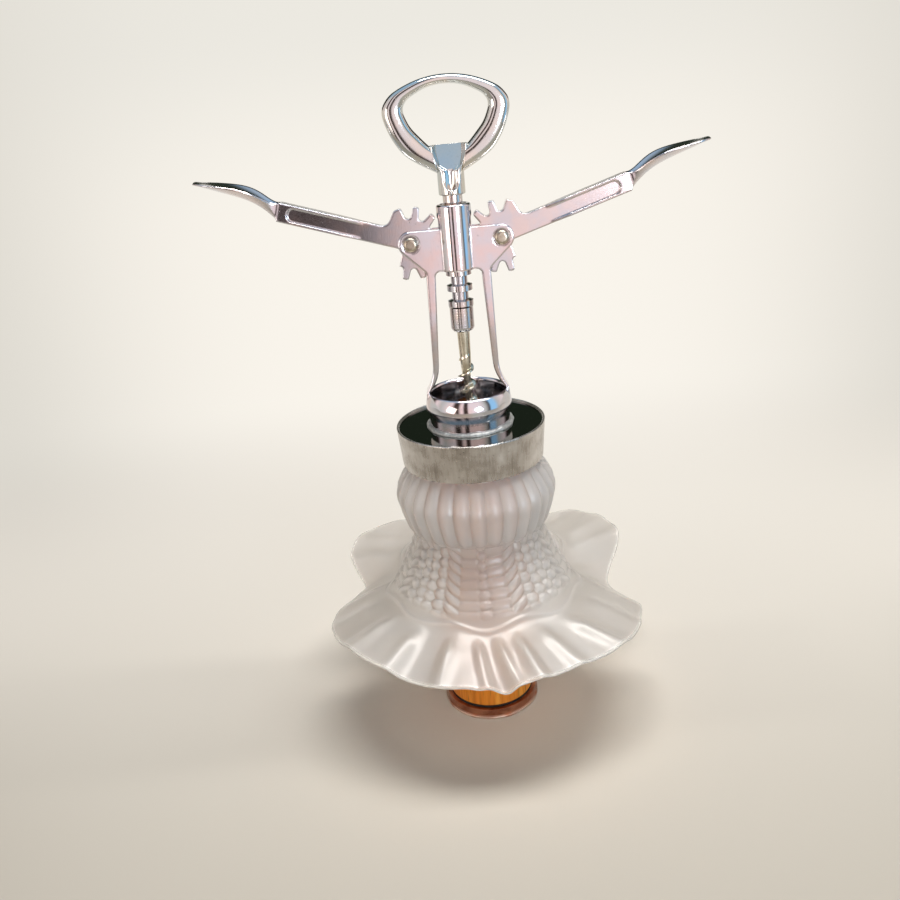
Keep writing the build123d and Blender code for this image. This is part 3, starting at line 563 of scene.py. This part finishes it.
def silvery_cement():
    """Clear cement with a silvery, gritty body under a glossy skin."""
    material, shader, place = finish("silvery_cement", metallic=0.35, coat_weight=0.4, coat_roughness=0.15)
    grit = place.noise(size=0.0008, detail=4.0)
    feed(shader, base_color=grit.mix(rgb(120, 120, 116), rgb(226, 226, 222)),
         roughness=0.25 + grit * 0.3,
         normal=grit.bump(strength=0.5, depth=0.0004))
    return material


bead_faces = ring_faces(*bead_r.shape, True)
bead = mesh_piece("cement_bead_ring", around(bead_r, bead_turns, bead_z), bead_faces, silvery_cement())
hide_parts("cement_bead")
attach(bead, "frame")


# Rivets
# Domed rivets through the frame's ears and the levers, which turn on them. They are peened over, and a duller
# brassy grey than the chrome.
def peened_metal():
    """Dull brassy metal, clouded in tone and gloss, with rounded edges."""
    material, shader, place = finish("peened_rivet", metallic=1.0)
    cloud = place.noise(size=0.0018, detail=4.0)
    feed(shader, base_color=cloud.mix(rgb(146, 134, 116), rgb(218, 206, 188)),
         roughness=0.18 + cloud * 0.2,
         normal=cloud.bump(strength=0.1, depth=0.0002, edge=0.0008))
    return material


dress(peened_metal(), "left_rivet", "right_rivet")


# Rack sleeve, spindle rod and ferrule
# The turned rack sleeve rides up and down in the barrel, the spindle turns in it, and the ferrule joins the
# worm to the spindle. All three are plated like the frame, with faint marks of turning around them.
def turned_chrome():
    """Chrome plate in two tones over the fine rings that a lathe leaves."""
    material, shader, place = finish("turned_chrome", metallic=1.0)
    cloud = place.noise(size=0.006, detail=3.0)
    lathe = place.noise(size=0.0004, stretch=(40.0, 40.0, 1.0))
    # The warmer of the two tones is a painted pinkish reflection, as on the frame
    feed(shader, base_color=cloud.ease(0.3, 0.7).mix(rgb(206, 206, 210), rgb(222, 208, 200)),
         roughness=0.07 + lathe * 0.10 + cloud * 0.05,
         normal=lathe.bump(strength=0.12, depth=0.0001))
    return material


dress(turned_chrome(), "rack_sleeve", "spindle_rod", "ferrule")


# Worm
# A tapered steel shank that runs out into the auger's flange, with a worn brass-coloured wash. It is fixed in
# the ferrule.
def brass_washed_steel():
    """Steel with a brassy wash in clouds and streaks along the worm."""
    material, shader, place = finish("brass_washed_steel", metallic=1.0)
    cloud = place.noise(size=0.004, detail=4.0)
    draw = place.noise(size=0.0006, detail=3.0, stretch=(1.0, 1.0, 12.0))
    wash = (cloud * 0.7 + draw * 0.3).ease(0.3, 0.7)
    feed(shader, base_color=wash.mix(rgb(190, 180, 158), rgb(238, 230, 212)),
         roughness=0.16 + draw * 0.16,
         normal=draw.bump(strength=0.2, depth=0.0001))
    return material


dress(brass_washed_steel(), "worm")

# Opener handle
# A chromed casting: a hub with a dished recess that widens up to a straight lip for lifting crown caps, and
# the plump ring that the hand turns. The hub is pressed on the spindle.
hub_low = 0.2354
hub_r = 0.0053
hub_edge = 0.0006
lip_rise = 0.0187
lip_half_w = 0.0075
handle_half_w = 0.0242
handle_h = 0.0434
handle_depth = 0.0072
# Rises between which the hub goes from round to wide and flat, and the powers of its sections there
widen_rises = (0.0085, 0.0185)
round_power = 2
lip_power = 5
# The dish: where it starts, how long its round end is, where it starts to lean back, and between which rises
# it opens; then its half width, front-to-back place and share that its walls take, in the hub and at the lip
dish_low = 0.0018
dish_end = 0.0050
dish_lean_low = 0.0095
dish_opening = (0.0062, 0.0175)
dish_hub_half, dish_lip_half = 0.0039, 0.0066
dish_hub_y, dish_lip_y = -0.0030, 0.0018
dish_hub_wall, dish_lip_wall = 0.95, 0.26
dish_wall_rises = (dish_lean_low - 0.001, dish_lean_low + 0.002)
# Rise from which the sections lie closer, up to the lip
closer_rise = 0.016
# Outer and inner edge of the ring, right half, from the hub to the crown, as shares of half width and height
ring_edge_shares = np.array([[(0.19, 0.185), (0.52, 0.288), (0.72, 0.373), (0.87, 0.493), (0.965, 0.62),
                              (1.0, 0.72), (0.955, 0.80), (0.785, 0.888), (0.40, 0.972), (0.0, 1.0)],
                             [(0.275, 0.413), (0.32, 0.435), (0.43, 0.50), (0.56, 0.585), (0.635, 0.67),
                              (0.662, 0.735), (0.63, 0.785), (0.53, 0.835), (0.27, 0.90), (0.0, 0.92)]])
ring_power = 2.5
ring_stations = 150
handle_turns = np.linspace(0, 2 * np.pi, 160, endpoint=False)


def plump(power):
    """Cross-section of half size 1: across is the cosine of the turn, and the depth's power and that of
    across add up to 1, so that a power of 2 is a circle and a higher one is nearer to a square."""
    across = np.cos(handle_turns)
    deep = (1 - np.abs(across) ** power) ** (1 / power)
    return across, deep * np.sign(np.sin(handle_turns))


def opener_ring():
    """The ring: plump sections from the outer to the inner edge, carried along both edges from the hub on the
    right over the crown to the hub on the left, with a point to close each end."""
    edges = np.concatenate([ring_edge_shares, ring_edge_shares[:, -2::-1] * (-1, 1)], axis=1)
    edges = edges * (handle_half_w, handle_h)
    stations = np.linspace(0, edges.shape[1] - 1, ring_stations)
    outer, inner = (eased(edge, stations) for edge in edges)
    both_ends = ((1, 1), (0, 0))
    middle = np.pad((outer + inner) / 2, both_ends, mode="edge")
    half = np.pad((outer - inner) / 2, both_ends)
    half_depth = np.pad(np.full((ring_stations, 1), handle_depth / 2), both_ends)
    across, deep = plump(ring_power)
    return np.stack([middle[:, :1] + half[:, :1] * across, half_depth * deep,
                     hub_low + middle[:, 1:] + half[:, 1:] * across], axis=-1)


def opener_hub():
    """The hub: plump sections up the hub that go from round to wide and flat at the lip. In front the dish is
    cut in: a round scoop in the hub, and over it a flat floor that widens and leans back up to the lip. Each
    end is closed along the line midway between front and back."""
    rise = np.concatenate([np.linspace(0, hub_edge, 5, endpoint=False),
                           np.linspace(hub_edge, closer_rise, 60, endpoint=False),
                           np.linspace(closer_rise, lip_rise, 30)])[:, None]
    widen = step(rise, *widen_rises)
    across, deep = plump(round_power + (lip_power - round_power) * widen)
    to_end = np.clip(np.minimum(rise, lip_rise - rise) / hub_edge, 0, 1)
    rounding = hub_edge * (1 - np.sqrt(1 - (1 - to_end) ** 2))
    x = (hub_r + (lip_half_w - hub_r) * widen - rounding) * across
    y = (hub_r + (handle_depth / 2 - hub_r) * widen - rounding) * deep
    round_end = np.sqrt(1 - (1 - np.clip((rise - dish_low) / dish_end, 0.001, 1)) ** 2)
    dish_half = round_end * (dish_hub_half + (dish_lip_half - dish_hub_half) * step(rise, *dish_opening))
    wall = dish_hub_wall + (dish_lip_wall - dish_hub_wall) * step(rise, *dish_wall_rises)
    lean = np.clip((rise - dish_lean_low) / (lip_rise - dish_lean_low), 0, 1)
    dish_y = dish_hub_y + (dish_lip_y - dish_hub_y) * lean
    inside = step((1 - np.abs(x) / dish_half) / wall, 0.0, 1.0)
    y = y + np.where(y < 0, np.maximum(dish_y - y, 0) * inside, 0.0)
    hub = np.stack([x, y, hub_low + rise + 0 * x], axis=-1)
    ends = [(row + np.roll(row[::-1], 1, axis=0)) / 2 for row in (hub[0], hub[-1])]
    return np.concatenate([ends[:1], hub, ends[1:]])


ring, hub = opener_ring(), opener_hub()
handle_points = np.concatenate([ring.reshape(-1, 3), hub.reshape(-1, 3)])
hub_faces = ring_faces(*hub.shape[:2], False) + ring.shape[0] * ring.shape[1]
handle_faces = np.concatenate([ring_faces(*ring.shape[:2], False), hub_faces])
# Its warm second tone is a painted reflection
handle_chrome = chrome_finish("handle_chrome", cool=rgb(210, 214, 214), painted_warm_reflection=rgb(223, 217, 208), dull=0.06,
                              edge=0.0)
handle = mesh_piece("opener_ring_handle", handle_points, handle_faces, handle_chrome)
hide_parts("opener_handle")
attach(handle, "spindle")

# Levers
# Stamped arms with recessed panels, gear teeth at the inner end and spoon paddles at the outer end, held by
# the rivets and chromed like the frame; the plating on them is a little hazier.
# Their pinkish second tone is a painted reflection
lever_chrome = chrome_finish("lever_chrome", cool=rgb(208, 208, 214), painted_warm_reflection=rgb(222, 208, 204), dull=0.09,
                             edge=0.0010)
dress(lever_chrome, "left_lever", "right_lever")

# Studio: floor and backdrop
# A pale paper sweep: level under the object, ending in a rounded edge in front, and curving up into a low
# backdrop behind. The paper is painted a little darker, as shade, in front of the object and in the front
# corners.
floor_rings = (0.02, 0.5)
floor_front_r, floor_back_r = 0.75, 1.60
# How far out and up the edge curves from there, in front and behind
edge_front_reach, edge_back_reach = 0.03, 0.90
edge_front_rise, edge_back_rise = -0.03, 0.70
sweep_turns = np.linspace(0, 2 * np.pi, 96, endpoint=False)
sweep_arc = np.linspace(0, np.pi / 2, 14)[:, None]
back = step(-np.cos(sweep_turns), -0.2, 0.5)
floor_r = floor_front_r + (floor_back_r - floor_front_r) * back
sweep_reach = edge_front_reach + (edge_back_reach - edge_front_reach) * back
sweep_rise = edge_front_rise + (edge_back_rise - edge_front_rise) * back
level_r = np.repeat(np.array(floor_rings)[:, None], len(sweep_turns), axis=1)
sweep_r = np.concatenate([level_r, floor_r + sweep_reach * np.sin(sweep_arc)])
sweep_z = np.concatenate([np.zeros_like(level_r), sweep_rise * (1 - np.cos(sweep_arc))])


def ray_kinds(tree):
    """The kinds of ray that show a background: camera, glossy and transmission rays."""
    outputs = tree.nodes.new("ShaderNodeLightPath").outputs
    return [Wire(outputs[kind]) for kind in ("Is Camera Ray", "Is Glossy Ray", "Is Transmission Ray")]


def studio_paper():
    """Paper that takes light and shadow near the object, painted darker as shade in front and in the front
    corners, and glows behind and far off in a pale tone with painted shade towards the top and the sides.
    """
    material, shader, place = finish("studio_paper", roughness=0.9)
    across, along, height = place.axes()
    # Painted shade: darker paper in the front corners and in front of the object
    painted_corner_shade = (across * across).ease(0.01, 0.08) * (1.0 - along.ease(-0.30, 0.10))
    paper = along.ease(-0.28, 0.22).mix(rgb(190, 183, 170), rgb(242, 237, 228))
    feed(shader, base_color=painted_corner_shade.mix(paper, rgb(176, 169, 157)))
    aside = across / (along + 0.35)
    # Painted shade in the glow: darker towards the top of the backdrop and to the sides
    straight = height.ease(0.0, 0.55).mix(rgb(250, 245, 236), rgb(236, 233, 225))
    tone = (aside * aside).ease(0.0, 0.36).mix(straight, rgb(222, 218, 209))
    camera_ray, glossy_ray, through_ray = ray_kinds(material.node_tree)
    near = (1.0 - along.ease(0.08, 0.50)) * (1.0 - height.ease(0.0, 0.06))
    far_off = camera_ray * (across * across + along * along).ease(0.16, 0.55)
    plain = 1.0 - (1.0 - (camera_ray + glossy_ray + through_ray) * (1.0 - near)) * (1.0 - far_off)
    glow = tone.node("ShaderNodeEmission", {}, {"Color": tone})
    both = glow.node("ShaderNodeMixShader", {}, {0: plain, 1: Wire(shader.outputs[0]), 2: glow})
    both.tree.links.new(both.socket, both.tree.nodes["Material Output"].inputs["Surface"])
    material.cycles.emission_sampling = "NONE"
    return material


sweep_faces = ring_faces(*sweep_r.shape, False)
sweep = mesh_piece("studio_sweep", around(sweep_r, sweep_turns, sweep_z), sweep_faces, studio_paper())

# Studio: light
# A soft overhead, a cool window light from the right and a weak warm fill from the left. For the chrome to
# mirror, the room has pale walls, a blue window, dark doorways, a dark green side behind the object and a
# pale blue ceiling. The camera sees a plain pale wall instead, past the object and through the glass.
room_pale = rgb(246, 228, 228)
room_cloudy = rgb(196, 196, 190)
room_window = rgb(160, 212, 250)
room_doorway = rgb(62, 50, 46)
room_green = rgb(40, 48, 38)
room_ceiling = rgb(158, 186, 210)
# Around the room, as shares of a turn that starts behind the object and passes its left, front and right
room_walls = [(0.0, room_green), (0.12, room_green), (0.19, room_doorway), (0.22, room_pale),
              (0.27, room_cloudy), (0.36, room_pale), (0.385, room_doorway), (0.415, room_doorway),
              (0.435, room_pale), (0.45, room_pale), (0.46, room_doorway), (0.484, room_doorway),
              (0.492, room_pale), (0.58, room_pale), (0.62, room_cloudy), (0.65, room_doorway),
              (0.665, room_window), (0.70, room_window), (0.73, room_cloudy), (0.80, room_pale),
              (0.84, room_doorway), (0.89, room_green), (1.0, room_green)]
# How strong the room is where it lights matt surfaces, is looked at, and is mirrored
room_fill = 0.09
room_looked_at = 1.0
room_mirrored = 1.2


def studio_room():
    """The room: wall colours around the turn under a ceiling, and the plain wall for what is looked at."""
    world = bpy.data.worlds.new("studio_room")
    world.use_nodes = True
    tree = world.node_tree
    sky = tree.nodes["Background"]
    across, along, up = Wire(tree.nodes.new("ShaderNodeTexCoord").outputs["Generated"]).axes()
    turn = across.math("ARCTAN2", across, along * -1.0) * (0.5 / np.pi) + 0.5
    mirrored = up.ease(0.58, 0.85).mix(turn.ramp(room_walls), room_ceiling)
    camera_ray, glossy_ray, through_ray = ray_kinds(tree)
    looked_at = camera_ray + through_ray
    plain_wall = along.ease(0.5, 0.95).mix(rgb(222, 218, 209), rgb(240, 237, 229))
    strength = glossy_ray * (room_mirrored - room_fill) + looked_at * (room_looked_at - room_fill) + room_fill
    tree.links.new(looked_at.mix(mirrored, plain_wall).socket, sky.inputs["Color"])
    tree.links.new(strength.socket, sky.inputs["Strength"])
    return world


bpy.context.scene.world = studio_room()
object_middle = np.array((0.0, 0.0, 0.14))
lamp_square_to = (0.0, 1.0, 0.2)


def softbox(name, place, wide, deep, watts, colour):
    """An oblong lamp that looks at the middle of the object, its wide side square to one direction."""
    lamp = bpy.data.lights.new(name, "AREA")
    lamp.shape = "RECTANGLE"
    lamp.size = wide
    lamp.size_y = deep
    lamp.energy = watts
    lamp.color = colour
    holder = bpy.data.objects.new(name, lamp)
    away = np.array(place) - object_middle
    away = away / np.linalg.norm(away)
    side = np.cross(lamp_square_to, away)
    side = side / np.linalg.norm(side)
    turned_to = Matrix(np.stack([side, np.cross(away, side), away], axis=1).tolist()).to_4x4()
    holder.matrix_world = Matrix.Translation(place) @ turned_to
    bpy.context.scene.collection.objects.link(holder)


softbox("overhead_softbox", (0.20, 0.0, 1.4), wide=1.1, deep=0.4, watts=19.5, colour=(1.0, 0.97, 0.93))
softbox("window_light", (0.50, -1.10, 0.23), wide=0.35, deep=0.35, watts=5.0, colour=(0.74, 0.88, 1.0))
softbox("warm_fill", (-0.9, -0.8, 0.22), wide=0.5, deep=0.5, watts=2.5, colour=(1.0, 0.92, 0.84))

# Camera
# It stands 35 cm in front of the object at the height of the handle, looks down on it, and is rolled a
# little, which leans the picture.
camera_place = (0.0, -0.347, 0.2672)
down, turned_left, roll = np.radians([21.8, 1.64, 5.2])
forward = np.array([-np.sin(turned_left) * np.cos(down), np.cos(turned_left) * np.cos(down), -np.sin(down)])
sideways = np.array([np.cos(turned_left), np.sin(turned_left), 0.0])
upright = np.cross(sideways, forward)
picture_right = sideways * np.cos(roll) - upright * np.sin(roll)
picture_up = sideways * np.sin(roll) + upright * np.cos(roll)
lens = bpy.data.cameras.new("camera")
lens.lens = 34.2
lens.clip_start = 0.01
camera = bpy.data.objects.new("camera", lens)
aim = Matrix(np.stack([picture_right, picture_up, -forward], axis=1).tolist()).to_4x4()
camera.matrix_world = Matrix.Translation(camera_place) @ aim
bpy.context.scene.collection.objects.link(camera)
bpy.context.scene.camera = camera
bpy.context.scene.view_settings.view_transform = "Standard"
